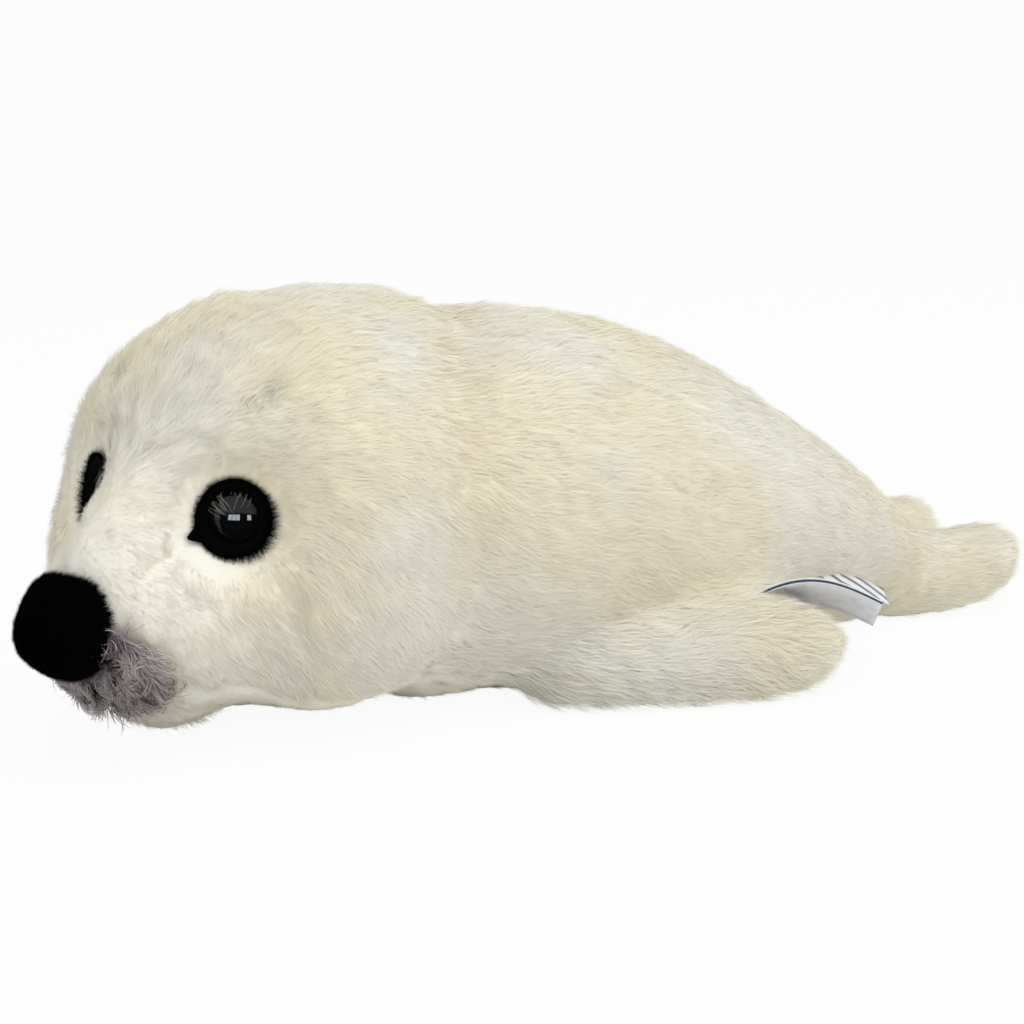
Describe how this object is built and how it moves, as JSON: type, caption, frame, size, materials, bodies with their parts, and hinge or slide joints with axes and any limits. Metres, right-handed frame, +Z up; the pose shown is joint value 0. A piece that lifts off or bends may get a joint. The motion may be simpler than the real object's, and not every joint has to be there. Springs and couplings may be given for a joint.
{
  "type": "plush seal",
  "caption": "Plush seal pup lying on its belly, in white long pile, with black domed eyes, a black velour nose and sewn flippers.",
  "frame": {"origin": "bottom centre of the bounding box, on the surface that the seal lies on", "axes": "+Z up, +Y towards the tail, so the seal faces -Y, and +X towards its left side"},
  "size_m": [0.2, 0.4162, 0.1461],
  "materials": {
    "white_pile": "long soft cream-white pile",
    "black_velour": "short dense black velour",
    "grey_pile": "curly mauve-grey pile",
    "black_felt": "matt black felt with short hairs",
    "black_plastic": "polished black dome",
    "clear_plastic": "moulded natural plastic",
    "satin_ribbon": "white satin ribbon"
  },
  "bodies": {
    "root": {"head": "white_pile", "torso": "white_pile", "front_flipper_left": "white_pile", "front_flipper_right": "white_pile", "hind_flipper_left": "white_pile", "hind_flipper_right": "white_pile", "nose": "black_velour", "mouth_patch": "grey_pile", "eye_left": "black_plastic", "eye_right": "black_plastic", "eye_washer_left": "clear_plastic", "eye_washer_right": "clear_plastic", "eye_backing_left": "black_felt", "eye_backing_right": "black_felt", "seam_label": "satin_ribbon", "care_label": "satin_ribbon"}
  },
  "joints": []
}
